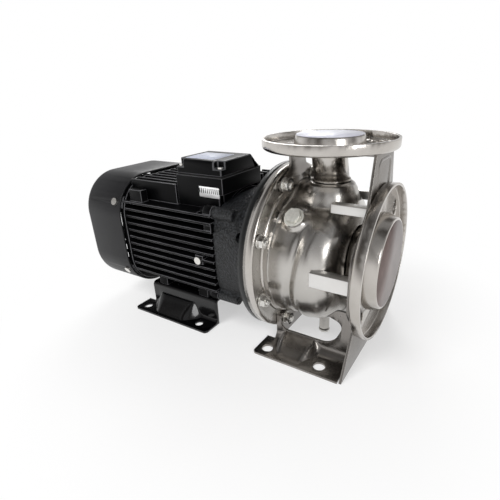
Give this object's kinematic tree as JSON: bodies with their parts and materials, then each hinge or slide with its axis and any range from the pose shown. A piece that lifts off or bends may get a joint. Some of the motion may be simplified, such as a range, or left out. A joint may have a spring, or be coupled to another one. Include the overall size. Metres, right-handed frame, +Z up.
{
  "type": "centrifugal pump",
  "caption": "Close-coupled end-suction pump: pressed steel volute, dished flanges, folded feet and a finned electric motor whose shaft turns a closed impeller.",
  "frame": {"origin": "centre of the suction face, on the shaft axis", "axes": "+X out of the suction port along the shaft, +Z up out of the discharge port"},
  "size_m": [0.42, 0.212, 0.252],
  "materials": {
    "pressed_steel": "polished",
    "fastener_steel": "satin",
    "cast_black": "sand cast, satin black",
    "motor_black": "satin black",
    "cover_black": "satin black",
    "foot_black": "gloss black",
    "gasket_rubber": "matte",
    "seal_ceramic": "smooth",
    "shaft_steel": "ground",
    "core_steel": "laminated",
    "winding_copper": "lacquered",
    "fan_plastic": "matte",
    "terminal_plastic": "matte"
  },
  "bodies": {
    "pump_frame": {"volute_casing": "pressed_steel", "suction_pipe": "pressed_steel", "suction_collar": "pressed_steel", "suction_flange": "pressed_steel", "discharge_neck": "pressed_steel", "discharge_collar": "pressed_steel", "discharge_flange": "pressed_steel", "front_yoke": "pressed_steel", "rear_bracket": "pressed_steel", "flange_struts": "pressed_steel", "pump_foot": "pressed_steel", "filling_plug": "fastener_steel", "plug_washer": "fastener_steel", "drain_plug": "fastener_steel", "casing_studs": "fastener_steel", "casing_nuts": "fastener_steel", "casing_washers": "fastener_steel", "casing_cover": "pressed_steel", "casing_gasket": "gasket_rubber", "seal_seat": "seal_ceramic", "wear_ring": "fastener_steel", "bearing_outer_rings": "shaft_steel", "stator_core": "core_steel", "stator_windings": "winding_copper", "lantern": "cast_black", "tie_screws": "motor_black", "motor_housing": "motor_black", "rear_end_shield": "motor_black", "terminal_box": "motor_black", "lid_gasket": "gasket_rubber", "terminal_box_lid": "motor_black", "lid_screws": "fastener_steel", "terminal_block": "terminal_plastic", "cable_gland": "fan_plastic", "fan_cover": "cover_black", "fan_cover_screws": "fastener_steel", "motor_foot": "foot_black", "motor_foot_screws": "fastener_steel", "ground_screw": "fastener_steel"},
    "rotor": {"shaft": "shaft_steel", "impeller": "pressed_steel", "impeller_nut": "fastener_steel", "impeller_key": "shaft_steel", "seal_head": "gasket_rubber", "bearing_inner_rings": "shaft_steel", "rotor_core": "core_steel", "cooling_fan": "fan_plastic", "fan_clip": "fastener_steel"}
  },
  "joints": [
    {"name": "rotor_spin", "type": "hinge", "parent": "pump_frame", "child": "rotor", "pos_m": [-0.08, 0, 0], "axis": [1, 0, 0], "continuous": true}
  ]
}
